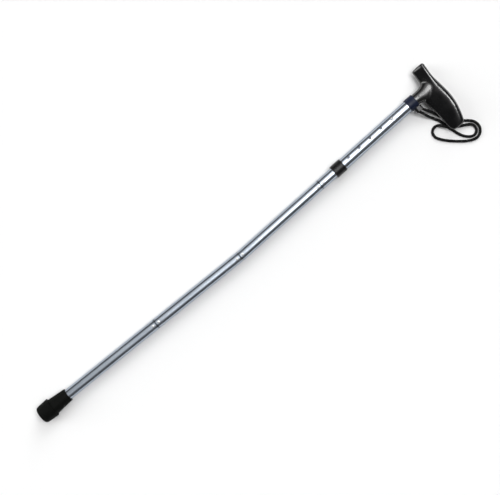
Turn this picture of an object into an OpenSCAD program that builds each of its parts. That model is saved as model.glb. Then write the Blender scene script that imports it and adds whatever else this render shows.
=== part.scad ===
/* [Shaft] */
// Outside diameter of the folding sections and of the inner height tube
shaft_d = 19; // [17:0.1:21]
// Wall of the folding sections
shaft_wall = 1; // [0.8:0.1:1.4]
// Wall of the outer height tube under the handle
sleeve_wall = 1; // [0.8:0.1:1.4]
// Radial running clearance between the two height tubes
slide_clearance = 0.1; // [0.05:0.01:0.1]
// Tread to the lowest fold
tip_section = 259; // [220:1:300]
// Length of each of the two middle sections
mid_section = 188; // [150:1:230]
// Highest fold to the middle of the lock collar
post_show = 43; // [35:1:70]
// Middle of the lock collar to the middle of the handle ring
sleeve_show = 171; // [165:1:220]
// Sideways angle that the middle fold has slipped to
slip_angle = 3; // [0:0.5:3]

/* [Folds] */
// Length of the tapered nose
nose_l = 9; // [7:0.5:10]
// Radius of the nose at its root
nose_root_r = 7; // [6.4:0.1:7.1]
// Radius lost along each millimetre of the nose, as a share
nose_taper_share = 0.35; // [0.33:0.01:0.4]
// Length of the plug behind the nose
plug_l = 25; // [18:1:40]
// Length of the socket bush
socket_l = 28; // [22:1:40]
// Clearance around the nose
nose_clearance = 0.4; // [0.3:0.05:0.5]
// Gap between two seated section ends
seat_gap = 0.1; // [0.05:0.05:0.3]
// Gap at the fold that has slipped
slip_gap = 0.65; // [0.6:0.05:1]
// Seat to the middle of each rivet
rivet_offset = 6; // [5:0.5:8]
// Radius of a rivet's shank
rivet_r = 1.6; // [1.2:0.1:2]
// Radius of a rivet's head
rivet_head_r = 2.6; // [2.2:0.1:3]
// Height of a rivet's head
rivet_head_h = 0.9; // [0.6:0.1:1.2]
// Diameter of the elastic cord
cord_d = 4; // [3:0.1:5]

/* [Height] */
// Distance between the adjusting holes
hole_pitch = 25.4; // [20:0.1:30]
// Number of adjusting holes
hole_count = 5; // [3:1:5]
// Handle ring's middle to the top hole
hole_drop = 44.5; // [40:0.5:60]
// Radius of an adjusting hole
hole_r = 2.9; // [2.8:0.1:4]
// Angle of the holes from straight up
hole_angle = 15; // [0:1:30]
// Radius of the snap button
button_r = 2.5; // [2.3:0.1:3.2]
// How far the button stands out of the tube
button_rise = 1.6; // [1:0.1:2.5]
// Thickness of the button's leaf spring
leaf_t = 0.6; // [0.4:0.1:0.8]
// Width of the leaf spring
leaf_w = 7; // [6.6:0.1:8]
// Length of the leaf spring
leaf_l = 34; // [30:1:45]
// Length of the lock collar
collar_l = 22; // [18:1:26]
// Outside diameter of the lock collar
collar_d = 24.4; // [24:0.1:27]
// Length of the clamp ring in the collar
clamp_l = 4; // [3:0.5:6]

/* [Rubber tip] */
// Diameter of the foot
foot_d = 35.4; // [32:0.2:40]
// Diameter of the foot above its rounded edge
foot_low_d = 32.6; // [30:0.2:35]
// Diameter of the flat tread
tread_d = 20; // [16:1:26]
// Height of the foot
foot_h = 26; // [22:1:32]
// Length of the whole tip
tip_l = 61; // [54:1:70]
// Diameter of the sleeve at its mouth
sleeve_d = 24; // [22.4:0.2:25]
// Diameter of the sleeve where it meets the foot
sleeve_root_d = 30; // [27:0.5:31]
// Rubber under the end of the tube
sole_t = 17; // [12:0.5:18]
// Thickness of the steel disc under the tube
disc_t = 1.5; // [1:0.1:2.5]
// Clearance between the rubber and the tube
rubber_clearance = 0.05; // [0.02:0.01:0.1]

/* [Handle] */
// Length of the handle from nose to heel
handle_l = 127; // [115:1:140]
// Handle ring's middle to the crown of the handle
handle_h = 62; // [58:1:70]
// Thickness of the handle
handle_t = 29; // [26:0.5:34]
// Length of the ring under the handle
ring_l = 17; // [14:1:22]
// Diameter of the ring under the handle
ring_d = 24.4; // [24:0.1:27]
// Length of the stem inside the tube
stem_l = 25; // [18:1:27]

/* [Wrist strap] */
// Diameter of the strap's cord
strap_d = 5; // [4:0.5:5]
// Length of the clasp that holds the strap's ends
clasp_l = 14; // [13:0.5:16]
// Height of the clasp
clasp_h = 8; // [7:0.5:10]

/* [Hidden] */
$fn = 64;

// Overrun of a cut past the face it opens
over = 1;
// Clearance of a fixed piece in its seat
fixed_clearance = 0.1;
// Clearance of the cord in its bores
cord_clearance = 0.3;
// Clearance of the lock collar where it turns
turn_clearance = 0.1;

shaft_r = shaft_d / 2;
bore_r = shaft_r - shaft_wall;
sleeve_bore_r = shaft_r + slide_clearance;
sleeve_r = sleeve_bore_r + sleeve_wall;
cord_r = cord_d / 2;
cord_bore_r = cord_r + cord_clearance;
nose_tip_r = nose_root_r - nose_taper_share * nose_l;
mouth_r = nose_root_r + nose_clearance;
socket_cone_l = nose_l + 2 * nose_clearance;
socket_end_r = mouth_r - nose_taper_share * socket_cone_l;
rivet_depth = 2.4;

// Places along the lower half, from the tread
fold_a = tip_section;
fold_b = tip_section + mid_section;
tube_start = sole_t + disc_t;

// Places along the upper half, from the middle fold
fold_c = mid_section;
collar_mid = fold_c + post_show;
ring_mid = collar_mid + sleeve_show;
collar_low = collar_mid - collar_l / 2;
collar_lip = 4;
sleeve_low = collar_low + collar_lip + clamp_l;
sleeve_top = ring_mid - fixed_clearance;
top_hole = ring_mid - hole_drop;
post_margin = 12;
post_top = top_hole + post_margin;
slip_centre = nose_l / 2;

// Outline of the handle from nose to heel: place along the length, underside, top and thickness, as shares
handle_nose_share = 0.322;
handle_shares = [
    [0, 0.63, 0.95, 0.55], [0.006, 0.6, 0.985, 0.72], [0.022, 0.58, 1, 0.83],
    [0.07, 0.575, 0.99, 0.88], [0.14, 0.56, 0.97, 0.9], [0.2, 0.54, 0.96, 0.9],
    [0.26, 0.48, 0.96, 0.9], [0.316, 0.39, 0.968, 0.91], [0.38, 0.32, 0.98, 0.93],
    [0.43, 0.3, 0.99, 0.95], [0.51, 0.31, 1, 0.99], [0.61, 0.33, 0.998, 1],
    [0.71, 0.34, 0.972, 0.97], [0.79, 0.34, 0.935, 0.9], [0.87, 0.34, 0.885, 0.78],
    [0.93, 0.35, 0.84, 0.64], [0.968, 0.375, 0.81, 0.5], [0.99, 0.43, 0.785, 0.34],
    [1, 0.5, 0.75, 0.2]];
handle_sides = 28;
handle_steps = 2;
handle_square_share = 0.86;
handle_wedge_share = 1.7;
handle_flank_share = 1.2;
handle_ridge_share = 0.79;
// Outline of the handle's neck from the ring up: height, then reach to the nose, to the heel and to each side
neck_shares = [
    [0, 1, 1, 1], [0.14, 1, 1, 1], [0.2, 1, 1.05, 1.01], [0.26, 1, 1.15, 1.02], [0.32, 1.01, 1.3, 1.035],
    [0.38, 1.03, 1.5, 1.05], [0.44, 1.08, 1.65, 1.065], [0.5, 1.2, 1.7, 1.08], [0.56, 1.35, 1.65, 1.09],
    [0.64, 1.45, 1.55, 1.1], [0.72, 1.4, 1.45, 1.1], [0.8, 1.25, 1.3, 1.06]];

// Route of the strap's cord, from one end in the clasp round to the other
strap_route = [
    [850, 3, 0], [853.5, -5, -2], [858, -14, -8], [864.5, -24, -14], [869.5, -33.5, -15],
    [873, -42.5, -15], [874.5, -52, -15], [878.5, -62.5, -15], [882, -72.5, -15], [887, -81.5, -15],
    [894.5, -89, -15], [902.5, -92, -15], [910, -89, -15], [913, -81.5, -15], [910, -74, -14],
    [900.5, -68, -13], [890.5, -63, -12], [881, -57.5, -10.5], [872.5, -50.5, -9], [867, -43, -10],
    [863, -39, -12.5], [857, -37.5, -14.5], [851, -39.5, -15], [847, -44.5, -15], [846.5, -52, -15],
    [850.5, -59.5, -15], [856.5, -67, -15], [869, -79, -15], [886, -92, -15], [900, -98, -15],
    [909.5, -97, -15], [916.5, -91.5, -15], [919.5, -82.5, -15], [916.5, -72, -15], [906, -62, -15],
    [893.5, -53.5, -15], [884, -43, -15], [876.5, -29.5, -14], [867.5, -13, -8], [857, 3, 0]];
strap_sides = 8;
strap_steps = 2;

// A frame that carries the upper half, turned by the slip of the middle fold
module upper_frame() {
    translate([fold_b + slip_centre, 0, 0])
        rotate([0, 0, slip_angle])
            translate([-slip_centre, 0, 0])
                children();
}

module rod(r, from, to) {
    translate([from, 0, 0])
        rotate([0, 90, 0])
            cylinder(r = r, h = to - from);
}

module pipe(r, bore, from, to) {
    difference() {
        rod(r, from, to);
        rod(bore, from - over, to + over);
    }
}

// A solid of revolution along the shaft, from points of place and radius
module turned(points) {
    rotate([0, 90, 0])
        rotate_extrude()
            polygon([for (p = points) [p[1], p[0]]]);
}

module rivet_hole(at) {
    translate([at, 0, shaft_r - rivet_depth - fixed_clearance])
        cylinder(r = rivet_r + fixed_clearance, h = rivet_depth + fixed_clearance + over);
}

module rivet(at) {
    dome_r = (rivet_head_r * rivet_head_r + rivet_head_h * rivet_head_h) / (2 * rivet_head_h);
    color("gainsboro")
        translate([at, 0, shaft_r]) {
            translate([0, 0, -rivet_depth])
                cylinder(r = rivet_r, h = rivet_depth);
            intersection() {
                translate([0, 0, rivet_head_h - dome_r])
                    sphere(r = dome_r);
                cylinder(r = rivet_head_r, h = rivet_head_h);
            }
        }
}

// A section's tube with a rivet hole near each end that has a joint
module section_tube(from, to, rivets) {
    color("silver")
        difference() {
            pipe(shaft_r, bore_r, from, to);
            for (at = rivets)
                rivet_hole(at);
        }
}

// The plug with a tapered nose at the top of a section, seated at the given place
module ferrule(seat) {
    body_r = bore_r - fixed_clearance;
    color("dimgray")
        difference() {
            turned([
                [seat - plug_l, cord_bore_r], [seat - plug_l, body_r], [seat, body_r], [seat, nose_root_r],
                [seat + nose_l, nose_tip_r], [seat + nose_l, cord_bore_r]]);
            rivet_hole(seat - rivet_offset);
        }
}

// The bush at the bottom of a section that takes the nose of the section below
module socket(mouth) {
    body_r = bore_r - fixed_clearance;
    color("dimgray")
        difference() {
            turned([
                [mouth, mouth_r], [mouth, body_r], [mouth + socket_l, body_r],
                [mouth + socket_l, cord_bore_r], [mouth + socket_cone_l, cord_bore_r],
                [mouth + socket_cone_l, socket_end_r]]);
            rivet_hole(mouth + rivet_offset);
        }
}

module cord(from, to) {
    color("black")
        rod(cord_r, from, to);
}

// A plug that holds the cord's end
module anchor(from) {
    color("dimgray")
        pipe(bore_r - fixed_clearance, cord_bore_r, from, from + anchor_l);
}

anchor_l = 12;
tip_anchor_at = tube_start + anchor_l;
post_anchor_at = fold_c + socket_l + anchor_l;
cord_tail = 3;
tip_seat = fold_a - seat_gap;
lower_seat = fold_b - slip_gap;
middle_seat = fold_c - seat_gap;
cord_start = socket_cone_l + cord_clearance;

module rubber_tip() {
    edge_r = (foot_low_d - tread_d) / 2;
    cup_r = shaft_r + rubber_clearance;
    color("black")
        turned(concat(
            [[0, 0], [0, tread_d / 2]],
            [for (a = [10 : 10 : 90]) [edge_r * (1 - cos(a)), tread_d / 2 + edge_r * sin(a)]],
            [[foot_h, foot_d / 2], [foot_h, sleeve_root_d / 2], [tip_l, sleeve_d / 2], [tip_l, cup_r],
            [sole_t, cup_r], [sole_t, 0]]));
}

module tip_disc() {
    color("gray")
        rod(shaft_r - fixed_clearance, sole_t, tube_start);
}

module tip_tube() {
    section_tube(tube_start, tip_seat, [tip_seat - rivet_offset]);
}

module tip_anchor() {
    anchor(tip_anchor_at);
}

module tip_cord() {
    cord(tip_anchor_at - cord_tail, tip_seat + nose_l);
}

module tip_ferrule() {
    ferrule(tip_seat);
}

module tip_ferrule_rivet() {
    rivet(tip_seat - rivet_offset);
}

module lower_tube() {
    section_tube(fold_a, lower_seat, [fold_a + rivet_offset, lower_seat - rivet_offset]);
}

module lower_socket() {
    socket(fold_a);
}

module lower_socket_rivet() {
    rivet(fold_a + rivet_offset);
}

module lower_cord() {
    cord(fold_a + cord_start, lower_seat + nose_l);
}

module lower_ferrule() {
    ferrule(lower_seat);
}

module lower_ferrule_rivet() {
    rivet(lower_seat - rivet_offset);
}

module middle_tube() {
    upper_frame()
        section_tube(0, middle_seat, [rivet_offset, middle_seat - rivet_offset]);
}

module middle_socket() {
    upper_frame()
        socket(0);
}

module middle_socket_rivet() {
    upper_frame()
        rivet(rivet_offset);
}

module middle_cord() {
    upper_frame()
        cord(cord_start, middle_seat + nose_l);
}

module middle_ferrule() {
    upper_frame()
        ferrule(middle_seat);
}

module middle_ferrule_rivet() {
    upper_frame()
        rivet(middle_seat - rivet_offset);
}

// A round hole through one wall on the button's side
module side_hole(at, r) {
    translate([at, 0, 0])
        rotate([-hole_angle, 0, 0])
            cylinder(r = r, h = sleeve_r + over);
}

module post_tube() {
    color("silver")
        upper_frame()
            difference() {
                pipe(shaft_r, bore_r, fold_c, post_top);
                rivet_hole(fold_c + rivet_offset);
                side_hole(top_hole, hole_r);
            }
}

module post_socket() {
    upper_frame()
        socket(fold_c);
}

module post_socket_rivet() {
    upper_frame()
        rivet(fold_c + rivet_offset);
}

module post_anchor() {
    upper_frame()
        anchor(post_anchor_at);
}

module post_cord() {
    upper_frame()
        cord(fold_c + cord_start, post_anchor_at + anchor_l + cord_tail);
}

// The spring strip: a leaf under each wall, joined by a round bend, with the drawn button on the upper leaf
module snap_button() {
    leaf_z = sqrt(bore_r * bore_r - leaf_w * leaf_w / 4) - fixed_clearance;
    bend_x = leaf_l - post_margin;
    stem_h = sleeve_r + button_rise - button_r;
    color("lightgray")
        upper_frame()
            translate([top_hole, 0, 0])
                rotate([-hole_angle, 0, 0]) {
                    for (z = [leaf_z - leaf_t, -leaf_z])
                        translate([-bend_x + leaf_z, -leaf_w / 2, z])
                            cube([leaf_l - leaf_z - fixed_clearance - leaf_t, leaf_w, leaf_t]);
                    translate([-bend_x + leaf_z, 0, 0])
                        rotate([90, 0, 0])
                            rotate([0, 0, 90])
                                translate([0, 0, -leaf_w / 2])
                                    rotate_extrude(angle = 180)
                                        translate([leaf_z - leaf_t, 0])
                                            square([leaf_t, leaf_w]);
                    translate([0, 0, leaf_z - leaf_t / 2])
                        cylinder(r = button_r, h = stem_h - leaf_z + leaf_t / 2);
                    translate([0, 0, stem_h])
                        intersection() {
                            sphere(r = button_r);
                            cylinder(r = button_r, h = button_r);
                        }
                }
}

module lock_collar() {
    chamfer = collar_d / 2 - sleeve_r - turn_clearance - sleeve_wall / 2;
    lip_r = shaft_r + turn_clearance;
    wide_r = sleeve_r + turn_clearance;
    outer_r = collar_d / 2;
    high = collar_low + collar_l;
    step = collar_low + collar_lip;
    color([0.08, 0.08, 0.09])
        upper_frame()
            turned([
                [collar_low, lip_r], [collar_low, outer_r - chamfer], [collar_low + chamfer, outer_r],
                [high - chamfer, outer_r], [high, outer_r - chamfer], [high, wide_r], [step, wide_r],
                [step, lip_r]]);
}

module clamp_ring() {
    ring_low = collar_low + collar_lip + turn_clearance;
    color("white")
        upper_frame()
            pipe(sleeve_r, sleeve_bore_r, ring_low, sleeve_low);
}

module upper_tube() {
    color("silver")
        upper_frame()
            difference() {
                pipe(sleeve_r, sleeve_bore_r, sleeve_low, sleeve_top);
                for (i = [0 : hole_count - 1])
                    side_hole(top_hole - i * hole_pitch, hole_r);
                handle_rivet_hole();
            }
}

handle_rivet_drop = ring_l / 2 - rivet_head_r;
handle_rivet_reach = 4;
handle_rivet_head_h = 1.6;
clasp_lift = 4;
clasp_out = 8;

// The place of the rivet that pins ring, tube and stem together, on the strap's side
module at_handle_rivet() {
    translate([ring_mid - handle_rivet_drop, -ring_d / 2, 0])
        rotate([90, 0, 0])
            children();
}

module handle_rivet_hole() {
    at_handle_rivet()
        translate([0, 0, -handle_rivet_reach - fixed_clearance])
            cylinder(r = rivet_r + fixed_clearance, h = handle_rivet_reach + fixed_clearance + over);
}

module handle_rivet() {
    head_h = handle_rivet_head_h;
    dome_r = (rivet_head_r * rivet_head_r + head_h * head_h) / (2 * head_h);
    color("gainsboro")
        upper_frame()
            at_handle_rivet() {
                translate([0, 0, -handle_rivet_reach])
                    cylinder(r = rivet_r, h = handle_rivet_reach);
                intersection() {
                    translate([0, 0, head_h - dome_r])
                        sphere(r = dome_r);
                    cylinder(r = rivet_head_r, h = head_h);
                }
            }
}

module handle_ring() {
    color([0.2, 0.22, 0.27])
        upper_frame()
            difference() {
                pipe(ring_d / 2, sleeve_r + fixed_clearance, ring_mid - ring_l / 2, ring_mid + ring_l / 2);
                handle_rivet_hole();
            }
}

// One slice of the handle: thickest at a ridge under the crown, with a wedge below it
function handle_slice(s) = let (
        y = handle_l * (handle_nose_share - s[0]),
        tall = handle_h * (s[2] - s[1]),
        ridge = ring_mid + handle_h * s[1] + tall * handle_ridge_share,
        side = handle_t * s[3] / 2)
    [for (i = [0 : handle_sides - 1]) let (
            a = 360 * i / handle_sides,
            reach = cos(a) > 0 ? tall * (1 - handle_ridge_share) : tall * handle_ridge_share,
            bow = cos(a) > 0 ? handle_square_share : handle_wedge_share,
            swell = cos(a) > 0 ? handle_square_share : handle_flank_share,
            c = sign(cos(a)) * pow(abs(cos(a)), bow),
            d = sign(sin(a)) * pow(abs(sin(a)), swell))
        [ridge + reach * c, y, side * d]];

// One ring of the neck, wider towards the heel than towards the nose
function neck_ring(s) = [for (i = [0 : handle_sides - 1]) let (
            a = 360 * i / handle_sides,
            reach = cos(a) > 0 ? s[1] : s[2])
        [ring_mid + handle_h * s[0], sleeve_r * reach * cos(a), sleeve_r * s[3] * sin(a)]];

// Faces of a tube of rings, with both ends closed; the rings run against the right-hand rule
function tube_faces(rings, sides) = concat(
    [[for (i = [0 : sides - 1]) i]],
    [for (r = [0 : rings - 2]) for (i = [0 : sides - 1]) let (
            j = (i + 1) % sides,
            a = r * sides)
        each [[a + i, a + sides + i, a + sides + j], [a + i, a + sides + j, a + j]]],
    [[for (i = [sides - 1 : -1 : 0]) (rings - 1) * sides + i]]);

module handle() {
    neck = curve(neck_shares, handle_steps);
    slices = curve(handle_shares, handle_steps);
    color([0.05, 0.05, 0.06])
        upper_frame()
            difference() {
                union() {
                    polyhedron(
                        points = [for (s = slices) each handle_slice(s)],
                        faces = tube_faces(len(slices), handle_sides));
                    polyhedron(
                        points = [for (s = neck) each neck_ring(s)],
                        faces = tube_faces(len(neck), handle_sides));
                    rod(sleeve_bore_r - fixed_clearance, ring_mid - stem_l, ring_mid + fixed_clearance);
                }
                handle_rivet_hole();
            }
}

module strap_clasp() {
    clasp_w = clasp_l - clasp_h;
    clasp_reach = ring_d / 2 + clasp_out;
    color([0.05, 0.05, 0.05])
        upper_frame()
            difference() {
                translate([ring_mid + clasp_lift, 0, 0])
                    rotate([90, 0, 0]) {
                        for (x = [-clasp_w / 2, clasp_w / 2])
                            translate([x, 0, 0])
                                cylinder(d = clasp_h, h = clasp_reach);
                        translate([-clasp_w / 2, -clasp_h / 2, 0])
                            cube([clasp_w, clasp_h, clasp_reach]);
                    }
                rod(ring_d / 2 + fixed_clearance, ring_mid - ring_l, ring_mid + ring_l + clasp_l);
            }
}

// Points of a smooth curve through the strap's route
function curve_point(p, q, r, s, t) =
    0.5 * (2 * q + (r - p) * t + (2 * p - 5 * q + 4 * r - s) * t * t + (3 * q - p - 3 * r + s) * t * t * t);
function route_at(route, i) = route[max(0, min(len(route) - 1, i))];
function curve(route, steps) = concat(
    [for (i = [0 : len(route) - 2]) for (k = [0 : steps - 1])
        curve_point(route_at(route, i - 1), route[i], route[i + 1], route_at(route, i + 2), k / steps)],
    [route[len(route) - 1]]);
function unit(v) = v / norm(v);
function heading(path, i) = unit(path[min(i + 1, len(path) - 1)] - path[max(i - 1, 0)]);

// A ring of the strap's cord, square to the route, with its first point upwards
function cord_ring(path, i, r, sides) = let (
        d = heading(path, i),
        side = unit(cross(d, [0, 0, 1])),
        rise = cross(side, d))
    [for (k = [0 : sides - 1]) path[i] + r * (cos(360 * k / sides) * rise - sin(360 * k / sides) * side)];

module wrist_strap() {
    path = curve(strap_route, strap_steps);
    color([0.04, 0.04, 0.04])
        polyhedron(
            points = [for (i = [0 : len(path) - 1]) each cord_ring(path, i, strap_d / 2, strap_sides)],
            faces = tube_faces(len(path), strap_sides));
}

rubber_tip();
tip_disc();
tip_tube();
tip_anchor();
tip_cord();
tip_ferrule();
tip_ferrule_rivet();
lower_tube();
lower_socket();
lower_socket_rivet();
lower_cord();
lower_ferrule();
lower_ferrule_rivet();
middle_tube();
middle_socket();
middle_socket_rivet();
middle_cord();
middle_ferrule();
middle_ferrule_rivet();
post_tube();
post_socket();
post_socket_rivet();
post_anchor();
post_cord();
snap_button();
lock_collar();
clamp_ring();
upper_tube();
handle_ring();
handle();
handle_rivet();
strap_clasp();
wrist_strap();
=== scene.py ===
import math
import bpy
import numpy as np
from mathutils import Matrix


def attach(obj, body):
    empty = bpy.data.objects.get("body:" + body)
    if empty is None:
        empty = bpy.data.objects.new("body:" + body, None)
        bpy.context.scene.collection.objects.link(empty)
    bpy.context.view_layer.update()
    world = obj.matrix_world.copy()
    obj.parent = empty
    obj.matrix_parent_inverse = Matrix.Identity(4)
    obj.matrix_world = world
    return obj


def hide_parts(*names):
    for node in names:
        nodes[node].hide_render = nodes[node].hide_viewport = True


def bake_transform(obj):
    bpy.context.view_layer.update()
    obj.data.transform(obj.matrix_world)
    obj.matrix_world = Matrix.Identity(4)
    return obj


mm = 0.001
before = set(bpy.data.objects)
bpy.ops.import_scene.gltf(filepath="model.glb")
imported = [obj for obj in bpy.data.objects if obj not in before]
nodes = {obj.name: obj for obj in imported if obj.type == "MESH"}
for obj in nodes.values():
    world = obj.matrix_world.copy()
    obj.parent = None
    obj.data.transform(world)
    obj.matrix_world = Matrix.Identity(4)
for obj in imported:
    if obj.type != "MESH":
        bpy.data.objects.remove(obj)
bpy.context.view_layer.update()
scene = bpy.context.scene
print("frame:", len(nodes), "nodes")

# the camera looks straight down on the cane, which lies across the picture
picture = {
    "width": 500,             # pixels
    "height": 495,
    "mmPerPixel": 1.751,      # at the height of the shaft's middle
    "slope": 38.8,            # degrees from level to the lower shaft in the picture
    "tread": (41.06, 416.3),  # pixel of the tread's middle
    "lens": 100,              # mm
    "sensor": 36,             # mm
    "farthest": 50,           # metres that the camera sees
}


def placeCamera():
    slope = math.radians(picture["slope"])
    scale = picture["mmPerPixel"] * mm
    right = np.array([math.cos(slope), -math.sin(slope), 0])
    up = np.array([math.sin(slope), math.cos(slope), 0])
    across = picture["width"] / 2 - picture["tread"][0]
    rise = picture["tread"][1] - picture["height"] / 2
    middle = (right * across + up * rise) * scale
    height = picture["width"] * scale * picture["lens"] / picture["sensor"]
    data = bpy.data.cameras.new("camera")
    data.lens = picture["lens"]
    data.sensor_width = picture["sensor"]
    data.clip_end = picture["farthest"]
    camera = bpy.data.objects.new("camera", data)
    scene.collection.objects.link(camera)
    turn = np.eye(4)
    turn[:3, 0], turn[:3, 1], turn[:3, 2] = right, up, (0, 0, 1)
    turn[:3, 3] = middle + np.array([0, 0, height])
    camera.matrix_world = Matrix(turn.tolist())
    scene.camera = camera
    return middle


middle = placeCamera()
scene.view_settings.view_transform = "Standard"
print("camera over", middle.round(4))


def linear(hexColour):
    # sRGB hex to linear, with alpha
    parts = [int(hexColour[i:i + 2], 16) / 255 for i in (1, 3, 5)]
    return [p / 12.92 if p <= 0.04045 else ((p + 0.055) / 1.055) ** 2.4 for p in parts] + [1]


def add(tree, kind, settings=None, values=None, links=None):
    # a node with its settings, its socket values and what runs into it
    node = tree.nodes.new(kind)
    for name, value in (settings or {}).items():
        setattr(node, name, value)
    for socket, value in (values or {}).items():
        node.inputs[socket].default_value = value
    for socket, source in (links or {}).items():
        tree.links.new(source, node.inputs[socket])
    return node


def newMaterial(name):
    material = bpy.data.materials.new(name)
    material.use_nodes = True
    tree = material.node_tree
    return material, tree, tree.nodes["Principled BSDF"]


# white paper floor in a dim room, lit by cards of light overhead; each card is a box of directions, by the
# shares of a unit vector along the cane and across it: from, to, softness of the edge
studio = {
    "floorZ": -0.0177, "floorSize": 6.0, "paper": "#F7F7F7", "paperRough": 0.9, "tint": "#FFFFFF",
    "room": 0.05,
    "horizon": 0.1,   # height over which the cards fade in
    "cards": [
        # over the whole shaft, brighter over its upper half, and dim walls beside it
        {"level": 0.5, "along": (-0.185, 0.165, 0.03), "across": (-0.5, 0.75, 0.15)},
        {"level": 0.9, "along": (0.0, 0.165, 0.1), "across": (-0.5, 0.75, 0.15)},
        {"level": 0.1, "along": (-0.25, 0.25, 0.05), "across": (-0.95, 0.95, 0.03)},
        # windows beyond the tip and beyond the nose
        {"level": 3.6, "along": (-0.85, -0.4, 0.05), "across": (0.38, 0.75, 0.08)},
        {"level": 3.6, "along": (0.35, 0.85, 0.05), "across": (0.25, 0.65, 0.08)},
        # lamps over the handle's neck and over its crown
        {"level": 8.5, "along": (0.085, 0.2, 0.03), "across": (-0.28, 0.4, 0.1)},
        {"level": 11.5, "along": (0.2, 0.45, 0.03), "across": (-0.2, 0.1, 0.06)},
    ],
}


def cardLight(tree, parts, card):
    # the light of a card in a direction
    light = add(tree, "ShaderNodeMapRange", {}, {"From Max": studio["horizon"], "To Max": card["level"]},
                {"Value": parts.outputs["Z"]}).outputs["Result"]
    for axis, (low, high, soft) in (("X", card["along"]), ("Y", card["across"])):
        for edge, start, end in ((low, 0.0, 1.0), (high, 1.0, 0.0)):
            step = add(tree, "ShaderNodeMapRange", {"interpolation_type": "SMOOTHSTEP"},
                       {"From Min": edge - soft, "From Max": edge + soft, "To Min": start, "To Max": end},
                       {"Value": parts.outputs[axis]})
            light = add(tree, "ShaderNodeMath", {"operation": "MULTIPLY"},
                        links={0: light, 1: step.outputs["Result"]}).outputs["Value"]
    return light


def buildFloor():
    size = studio["floorSize"]
    grid = np.array([(-size, -size), (size, -size), (size, size), (-size, size)])
    points = np.column_stack([grid + middle[:2], np.full(4, studio["floorZ"])])
    mesh = bpy.data.meshes.new("floor")
    mesh.from_pydata(points.tolist(), [], [(0, 1, 2, 3)])
    floor = bpy.data.objects.new("floor", mesh)
    scene.collection.objects.link(floor)
    # matt white paper
    paper, _, shader = newMaterial("whitePaper")
    shader.inputs["Base Color"].default_value = linear(studio["paper"])
    shader.inputs["Roughness"].default_value = studio["paperRough"]
    shader.inputs["Specular IOR Level"].default_value = 0
    mesh.materials.append(paper)


def buildRoom():
    world = bpy.data.worlds.new("room")
    scene.world = world
    world.use_nodes = True
    tree = world.node_tree
    back = tree.nodes["Background"]
    place = add(tree, "ShaderNodeTexCoord")
    parts = add(tree, "ShaderNodeSeparateXYZ", links={"Vector": place.outputs["Generated"]})
    lights = [cardLight(tree, parts, card) for card in studio["cards"]]
    level = add(tree, "ShaderNodeMath", {"operation": "ADD"}, {1: studio["room"]}, {0: lights[0]})
    for light in lights[1:]:
        level = add(tree, "ShaderNodeMath", {"operation": "ADD"}, links={0: level.outputs["Value"], 1: light})
    back.inputs["Color"].default_value = linear(studio["tint"])
    tree.links.new(level.outputs["Value"], back.inputs["Strength"])


buildFloor()
buildRoom()
print("studio: floor, room and", len(studio["cards"]), "cards")

upperTurn = 3.0           # degrees that the upper half is turned by the slipped fold
noiseSpan = (0.3, 0.7)    # where nearly all values of a noise lie


def objectPlace(tree, turn=0.0):
    # Object coordinates in millimetres, turned so that X runs along the piece
    place = add(tree, "ShaderNodeTexCoord")
    scaled = add(tree, "ShaderNodeMapping", {"vector_type": "POINT"},
                 {"Rotation": (0, 0, -math.radians(turn)), "Scale": (1 / mm,) * 3},
                 {"Vector": place.outputs["Object"]})
    return scaled.outputs["Vector"]


# polished drawn aluminium: blue-white metal, with streaks along the tube from drawing and handling
tubeFinish = {
    # the seam colour is painted shade for the gap at each fold; the rubbed colour is partly painted shade,
    # for the inner tube seen through the adjusting holes
    "metal": "#C2CAD4", "worn": "#B0B9C6", "edge": "#6E747D", "rubbedHoleShade": "#858A92", "seam": "#2C3036",
    # millimetres: a seam of painted shade, half the way into the rubbed and shaded part, a streak's length
    # and width, a cloud
    "seamShadeWide": 1.2, "rubShadeSoft": 2.0, "streakLong": 70.0, "streakWide": 1.6, "cloud": 26.0,
    "streakDetail": 3.0, "streakRough": 0.6, "cloudDetail": 4.0,
    "rough": (0.13, 0.27), "rubbedRough": 0.6, "bump": 0.05, "bumpDeep": 0.0002,
}


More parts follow.
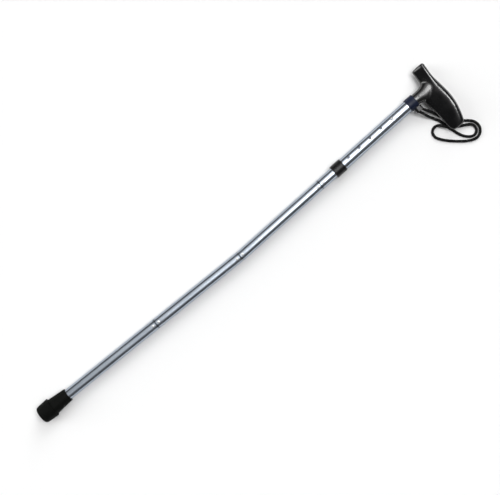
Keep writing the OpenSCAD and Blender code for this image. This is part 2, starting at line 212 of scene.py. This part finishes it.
def polishedAluminium(name, turn, seams, rubbedShadeFrom=None):
    # seams and the start of the rubbed part are millimetres along the shaft
    material, tree, shader = newMaterial(name)
    place = objectPlace(tree, turn)
    streakLong, streakWide = tubeFinish["streakLong"], tubeFinish["streakWide"]
    drawn = add(tree, "ShaderNodeMapping", {}, {"Scale": (1 / streakLong, 1 / streakWide, 1 / streakWide)},
                {"Vector": place})
    streak = add(tree, "ShaderNodeTexNoise", {},
                 {"Scale": 1.0, "Detail": tubeFinish["streakDetail"], "Roughness": tubeFinish["streakRough"]},
                 {"Vector": drawn.outputs["Vector"]})
    cloud = add(tree, "ShaderNodeTexNoise", {},
                {"Scale": 1 / tubeFinish["cloud"], "Detail": tubeFinish["cloudDetail"]}, {"Vector": place})
    colour = add(tree, "ShaderNodeMix", {"data_type": "RGBA"},
                 {"A": linear(tubeFinish["metal"]), "B": linear(tubeFinish["worn"])},
                 {"Factor": cloud.outputs["Fac"]})
    low, high = tubeFinish["rough"]
    rough = add(tree, "ShaderNodeMapRange", {},
                {"From Min": noiseSpan[0], "From Max": noiseSpan[1], "To Min": low, "To Max": high},
                {"Value": streak.outputs["Fac"]})
    bump = add(tree, "ShaderNodeBump", {},
               {"Strength": tubeFinish["bump"], "Distance": tubeFinish["bumpDeep"]},
               {"Height": streak.outputs["Fac"]})
    shader.inputs["Metallic"].default_value = 1
    shader.inputs["Specular Tint"].default_value = linear(tubeFinish["edge"])
    parts = add(tree, "ShaderNodeSeparateXYZ", links={"Vector": place})
    for seam in seams:
        # the cut edges at a fold are rounded, and the gap between them is darkened with painted shade
        wide = tubeFinish["seamShadeWide"]
        off = add(tree, "ShaderNodeMath", {"operation": "SUBTRACT"}, {1: seam}, {0: parts.outputs["X"]})
        gap = add(tree, "ShaderNodeMath", {"operation": "ABSOLUTE"}, links={0: off.outputs["Value"]})
        seamShade = add(tree, "ShaderNodeMapRange", {},
                    {"From Min": wide / 2, "From Max": wide, "To Min": 1.0, "To Max": 0.0},
                    {"Value": gap.outputs["Value"]})
        colour = add(tree, "ShaderNodeMix", {"data_type": "RGBA"}, {"B": linear(tubeFinish["seam"])},
                     {"A": colour.outputs["Result"], "Factor": seamShade.outputs["Result"]})
    if rubbedShadeFrom is not None:
        # dulled where it slides in the outer tube, and greyed there as painted shade for where it shows
        # through the adjusting holes
        soft = tubeFinish["rubShadeSoft"]
        rubbedHoleShade = add(tree, "ShaderNodeMapRange", {},
                     {"From Min": rubbedShadeFrom - soft, "From Max": rubbedShadeFrom + soft},
                     {"Value": parts.outputs["X"]})
        colour = add(tree, "ShaderNodeMix", {"data_type": "RGBA"}, {"B": linear(tubeFinish["rubbedHoleShade"])},
                     {"A": colour.outputs["Result"], "Factor": rubbedHoleShade.outputs["Result"]})
        rough = add(tree, "ShaderNodeMix", {}, {"B": tubeFinish["rubbedRough"]},
                    {"A": rough.outputs["Result"], "Factor": rubbedHoleShade.outputs["Result"]})
    tree.links.new(colour.outputs["Result"], shader.inputs["Base Color"])
    tree.links.new(rough.outputs["Result"], shader.inputs["Roughness"])
    tree.links.new(bump.outputs["Normal"], shader.inputs["Normal"])
    return material


# moulded finishes: colour and its variation, roughness and its variation, and fine grain in the skin; a patch
# and a grain are in millimetres
finishes = {
    # glossy injection-moulded ABS: near black, with a faint moulded grain that softens its highlight
    "handleAbs": {"base": "#040405", "other": "#08080A", "patch": 18.0, "rough": (0.16, 0.24), "grain": 1.6,
                  "bump": 0.05, "gloss": 1.0},
    # satin moulded nylon ring, dark blue-grey
    "ringNylon": {"base": "#10172A", "other": "#182036", "patch": 9.0, "rough": (0.38, 0.5), "grain": 1.4,
                  "bump": 0.08, "gloss": 0.22},
    # satin moulded acetal, black, a little uneven where fingers turn it
    "collarAcetal": {"base": "#050507", "other": "#0A0A0D", "patch": 7.0, "rough": (0.26, 0.38), "grain": 1.4,
                     "bump": 0.1, "gloss": 0.35},
    # moulded natural rubber: matt and near black, faintly green
    "tipRubber": {"base": "#030403", "other": "#080A08", "patch": 6.0, "rough": (0.6, 0.8), "grain": 1.8,
                  "bump": 0.25, "gloss": 0.1},
    # moulded nylon of the plugs and bushes, dark grey
    "plugNylon": {"base": "#26272A", "other": "#303135", "patch": 8.0, "rough": (0.4, 0.55), "grain": 1.2,
                  "bump": 0.08, "gloss": 0.4},
}
mouldedSkin = {"patchDetail": 4.0, "grainDetail": 2.0, "bumpDeep": 0.0003, "ior": 1.5}


def moulded(name):
    finish = finishes[name]
    material, tree, shader = newMaterial(name)
    place = objectPlace(tree)
    patch = add(tree, "ShaderNodeTexNoise", {},
                {"Scale": 1 / finish["patch"], "Detail": mouldedSkin["patchDetail"]}, {"Vector": place})
    grain = add(tree, "ShaderNodeTexNoise", {},
                {"Scale": 1 / finish["grain"], "Detail": mouldedSkin["grainDetail"]}, {"Vector": place})
    colour = add(tree, "ShaderNodeMix", {"data_type": "RGBA"},
                 {"A": linear(finish["base"]), "B": linear(finish["other"])},
                 {"Factor": patch.outputs["Fac"]})
    low, high = finish["rough"]
    rough = add(tree, "ShaderNodeMapRange", {},
                {"From Min": noiseSpan[0], "From Max": noiseSpan[1], "To Min": low, "To Max": high},
                {"Value": patch.outputs["Fac"]})
    bump = add(tree, "ShaderNodeBump", {}, {"Strength": finish["bump"], "Distance": mouldedSkin["bumpDeep"]},
               {"Height": grain.outputs["Fac"]})
    tree.links.new(colour.outputs["Result"], shader.inputs["Base Color"])
    tree.links.new(rough.outputs["Result"], shader.inputs["Roughness"])
    tree.links.new(bump.outputs["Normal"], shader.inputs["Normal"])
    shader.inputs["Specular IOR Level"].default_value = finish["gloss"]
    shader.inputs["IOR"].default_value = mouldedSkin["ior"]
    return material


# nickel-plated steel of the rivets and the spring strip: bright, with fine handling marks, in millimetres
platedSteel = {"metal": "#F0F1F2", "dull": "#D8D9DB", "mark": 1.3, "markDetail": 3.0, "rough": (0.35, 0.5)}


def platedSteelMaterial():
    material, tree, shader = newMaterial("nickelSteel")
    place = objectPlace(tree)
    mark = add(tree, "ShaderNodeTexNoise", {},
               {"Scale": 1 / platedSteel["mark"], "Detail": platedSteel["markDetail"]}, {"Vector": place})
    colour = add(tree, "ShaderNodeMix", {"data_type": "RGBA"},
                 {"A": linear(platedSteel["metal"]), "B": linear(platedSteel["dull"])},
                 {"Factor": mark.outputs["Fac"]})
    low, high = platedSteel["rough"]
    rough = add(tree, "ShaderNodeMapRange", {},
                {"From Min": noiseSpan[0], "From Max": noiseSpan[1], "To Min": low, "To Max": high},
                {"Value": mark.outputs["Fac"]})
    shader.inputs["Metallic"].default_value = 1
    tree.links.new(colour.outputs["Result"], shader.inputs["Base Color"])
    tree.links.new(rough.outputs["Result"], shader.inputs["Roughness"])
    return material


# braided polyester over a soft core: two sets of strands cross, read from the cord's own map
braid = {
    "yarn": "#050505", "sheen": "#101011", "pitch": 5.0, "strands": 8,
    "bump": 0.6, "bumpShare": 0.06,   # depth as a share of the cord's diameter
    "rough": 0.75, "gloss": 0.2, "fuzz": 0.04, "fuzzRough": 0.4,
}


def braidedCord(name, diameter):
    material, tree, shader = newMaterial(name)
    route = add(tree, "ShaderNodeUVMap", {"uv_map": "lay"})   # metres along, turns around
    parts = add(tree, "ShaderNodeSeparateXYZ", links={"Vector": route.outputs["UV"]})
    along = add(tree, "ShaderNodeMath", {"operation": "MULTIPLY"},
                {1: braid["strands"] / (braid["pitch"] * mm)}, {0: parts.outputs["X"]})
    waves = []
    for hand in (1, -1):
        turned = add(tree, "ShaderNodeMath", {"operation": "MULTIPLY_ADD"}, {1: hand * braid["strands"] / 2},
                     {0: parts.outputs["Y"], 2: along.outputs["Value"]})
        angle = add(tree, "ShaderNodeMath", {"operation": "MULTIPLY"}, {1: math.pi},
                    {0: turned.outputs["Value"]})
        waves.append(add(tree, "ShaderNodeMath", {"operation": "SINE"}, links={0: angle.outputs["Value"]}))
    cross = add(tree, "ShaderNodeMath", {"operation": "MAXIMUM"},
                links={0: waves[0].outputs["Value"], 1: waves[1].outputs["Value"]})
    height = add(tree, "ShaderNodeMapRange", {}, {"From Min": -1.0, "From Max": 1.0},
                 {"Value": cross.outputs["Value"]})
    colour = add(tree, "ShaderNodeMix", {"data_type": "RGBA"},
                 {"A": linear(braid["yarn"]), "B": linear(braid["sheen"])},
                 {"Factor": height.outputs["Result"]})
    bump = add(tree, "ShaderNodeBump", {},
               {"Strength": braid["bump"], "Distance": diameter * braid["bumpShare"]},
               {"Height": height.outputs["Result"]})
    tree.links.new(colour.outputs["Result"], shader.inputs["Base Color"])
    tree.links.new(bump.outputs["Normal"], shader.inputs["Normal"])
    shader.inputs["Roughness"].default_value = braid["rough"]
    shader.inputs["Specular IOR Level"].default_value = braid["gloss"]
    shader.inputs["Sheen Weight"].default_value = braid["fuzz"]
    shader.inputs["Sheen Roughness"].default_value = braid["fuzzRough"]
    return material


# millimetres along the shaft to its folds, and to where the inner tube starts to be rubbed and greyed with
# painted shade
seams = {"lower": (259, 447), "upper": (446.5, 634.4), "post": (634.4,)}
rubShadeStart = 672
cordWide = {"strap": 0.005, "elastic": 0.004}

lowerMetal = polishedAluminium("polishedAluminiumLower", 0, seams["lower"])
upperMetal = polishedAluminium("polishedAluminiumUpper", upperTurn, seams["upper"])
slidingMetal = polishedAluminium("rubbedAluminiumHoleShade", upperTurn, seams["post"], rubShadeStart)
steel = platedSteelMaterial()
skins = {name: moulded(name) for name in finishes}
strapBraid = braidedCord("strapBraid", cordWide["strap"])
elasticBraid = braidedCord("elasticBraid", cordWide["elastic"])


def dress(material, *names):
    for name in names:
        mesh = nodes[name].data
        mesh.materials.clear()
        mesh.materials.append(material)
        mesh.polygons.foreach_set("material_index", np.zeros(len(mesh.polygons), np.int32))


dress(lowerMetal, "tip_tube", "lower_tube")
dress(upperMetal, "middle_tube", "upper_tube")
dress(slidingMetal, "post_tube")
dress(steel, "tip_disc", "snap_button", *[name for name in nodes if name.endswith("_rivet")])
dress(skins["handleAbs"], "handle")
dress(skins["ringNylon"], "handle_ring")
dress(skins["collarAcetal"], "lock_collar", "strap_clasp")
dress(skins["tipRubber"], "rubber_tip")
dress(skins["plugNylon"], "clamp_ring", "tip_anchor", "post_anchor",
      *[name for name in nodes if name.endswith(("_ferrule", "_socket"))])
dress(elasticBraid, *[name for name in nodes if name.endswith("_cord")])
print("finishes: CAD pieces dressed")


def smoothLine(points, steps):
    # a curve through every point: cubic pieces whose ends head along their neighbours' chord
    p = np.vstack([points[:1], points, points[-1:]])
    t = np.arange(steps)[None, :, None] / steps
    a, b, c, d = (p[i:len(p) - 3 + i][:, None, :] for i in range(4))
    square, cube = 2 * a - 5 * b + 4 * c - d, 3 * b - a - 3 * c + d
    line = 0.5 * (2 * b + (c - a) * t + square * t ** 2 + cube * t ** 3)
    return np.vstack([line.reshape(-1, points.shape[1]), points[-1:]])


def roundCord(name, line, radius, sides, material):
    # a circle carried along a line, square to it, closed at each end, with its map in metres and turns
    ahead = np.gradient(line, axis=0)
    ahead /= np.linalg.norm(ahead, axis=1, keepdims=True)
    side = np.cross(ahead, [0.0, 0.0, 1.0])
    side /= np.linalg.norm(side, axis=1, keepdims=True)
    rise = np.cross(side, ahead)
    turn = (np.arange(sides) / sides * 2 * np.pi)[None, :, None]
    rings = line[:, None] + radius * (np.cos(turn) * rise[:, None] + np.sin(turn) * side[:, None])
    count = len(line)
    points = np.vstack([rings.reshape(-1, 3), line[:1], line[-1:]])
    i, j = np.meshgrid(np.arange(count - 1), np.arange(sides), indexing="ij")
    here, after = i * sides + j, i * sides + (j + 1) % sides
    quads = np.stack([here, after, after + sides, here + sides], -1).reshape(-1, 4)
    last = (count - 1) * sides
    edge = [(a, (a + 1) % sides) for a in range(sides)]
    caps = [(count * sides, b, a) for a, b in edge]
    caps += [(count * sides + 1, last + a, last + b) for a, b in edge]
    mesh = bpy.data.meshes.new(name)
    mesh.from_pydata(points.tolist(), [], quads.tolist() + caps)
    steps = np.r_[0, np.cumsum(np.linalg.norm(np.diff(line, axis=0), axis=1))]
    uv = np.zeros((len(mesh.loops), 2), np.float32)
    corners = np.stack([np.stack([steps[i + m], (j + n) / sides], -1)
                        for m, n in ((0, 0), (0, 1), (1, 1), (1, 0))], -2)
    uv[:corners.size // 2] = corners.reshape(-1, 2)
    mesh.uv_layers.new(name="lay").data.foreach_set("uv", uv.ravel())
    mesh.polygons.foreach_set("use_smooth", np.ones(len(mesh.polygons), bool))
    mesh.materials.append(material)
    piece = bpy.data.objects.new(name, mesh)
    scene.collection.objects.link(piece)
    return piece, float(steps[-1])


# the strap's cord from one end in the clasp, round its loops and back, in millimetres
strap = {
    "radius": 0.0025, "sides": 16, "steps": 10,
    "route": [
        (850, 3, 0), (853.5, -5, -2), (858, -14, -8), (864.5, -24, -14), (869.5, -33.5, -15),
        (873, -42.5, -15), (874.5, -52, -15), (878.5, -62.5, -15), (882, -72.5, -15), (887, -81.5, -15),
        (894.5, -89, -15), (902.5, -92, -15), (910, -89, -15), (913, -81.5, -15), (910, -74, -14),
        (900.5, -68, -13), (890.5, -63, -12), (881, -57.5, -10.5), (872.5, -50.5, -9), (867, -43, -10),
        (863, -39, -12.5), (857, -37.5, -14.5), (851, -39.5, -15), (847, -44.5, -15), (846.5, -52, -15),
        (850.5, -59.5, -15), (856.5, -67, -15), (869, -79, -15), (886, -92, -15), (900, -98, -15),
        (909.5, -97, -15), (916.5, -91.5, -15), (919.5, -82.5, -15), (916.5, -72, -15), (906, -62, -15),
        (893.5, -53.5, -15), (884, -43, -15), (876.5, -29.5, -14), (867.5, -13, -8), (857, 3, 0)],
}


def buildStrap():
    line = smoothLine(np.array(strap["route"], float) * mm, strap["steps"])
    piece, length = roundCord("strap_cord", line, strap["radius"], strap["sides"], strapBraid)
    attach(piece, "grip_section")
    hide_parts("wrist_strap")
    print("strap: %.0f mm of cord" % (length / mm))


buildStrap()

# the elastic cord where it crosses each fold, from the nose below into the bush above
crossings = {
    "radius": 0.0019, "sides": 16, "bendRings": 25, "tailRings": 9,
    "nose": 8.0, "bush": 11.0,   # mm past the seam where the bend starts and ends
    "tail": 8.0,                 # mm that run on inside at each end
    "folds": [
        {"name": "elastic_lower", "bodies": ("tip_section", "lower_section"),
         "at": (259.0, 0.0, 0.0), "turn": 0.0},
        {"name": "elastic_middle", "bodies": ("lower_section", "middle_section"),
         "at": (447.0, 0.0, 0.0), "turn": 0.0},
        {"name": "elastic_upper", "bodies": ("middle_section", "post_section"),
         "at": (634.753, 9.604, 0.0), "turn": upperTurn},
    ],
}


def buildCrossing(fold):
    turn = math.radians(fold["turn"])
    ahead = np.array([math.cos(turn), math.sin(turn), 0])
    seam = np.array(fold["at"])
    start, end = seam + ahead * crossings["nose"], seam + ahead * crossings["bush"]
    bend = crossings["bush"] - crossings["nose"]
    tail = np.linspace(0, crossings["tail"], crossings["tailRings"])[1:]
    reach = np.concatenate([-tail[::-1], np.linspace(0, bend, crossings["bendRings"]), bend + tail])
    line = (start + ahead * reach[:, None]) * mm
    piece, _ = roundCord(fold["name"], line, crossings["radius"], crossings["sides"], elasticBraid)
    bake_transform(piece)


for fold in crossings["folds"]:
    buildCrossing(fold)
print("elastic:", len(crossings["folds"]), "crossings")


def bendStrip():
    node = nodes["snap_button"]
    bpy.context.view_layer.update()
    mesh = node.data.copy()
    mesh.transform(node.matrix_world)
    piece = bpy.data.objects.new("button_strip", mesh)
    scene.collection.objects.link(piece)
    corners = np.empty(len(mesh.vertices) * 3)
    mesh.vertices.foreach_get("co", corners)
    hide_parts("snap_button")
    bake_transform(piece)


bendStrip()

# the handle's faces are merged and rounded over, as the moulding is
handleSkin = {"weld": 1e-5, "voxel": 0.0009, "ease": 0.5, "passes": 36}


def roundHandle():
    handle = nodes["handle"]
    weld = handle.modifiers.new("weld", "WELD")
    weld.merge_threshold = handleSkin["weld"]
    remesh = handle.modifiers.new("skin", "REMESH")
    remesh.mode = "VOXEL"
    remesh.voxel_size = handleSkin["voxel"]
    remesh.use_smooth_shade = True
    ease = handle.modifiers.new("ease", "SMOOTH")
    ease.factor = handleSkin["ease"]
    ease.iterations = handleSkin["passes"]


roundHandle()
print("handle: rounded")
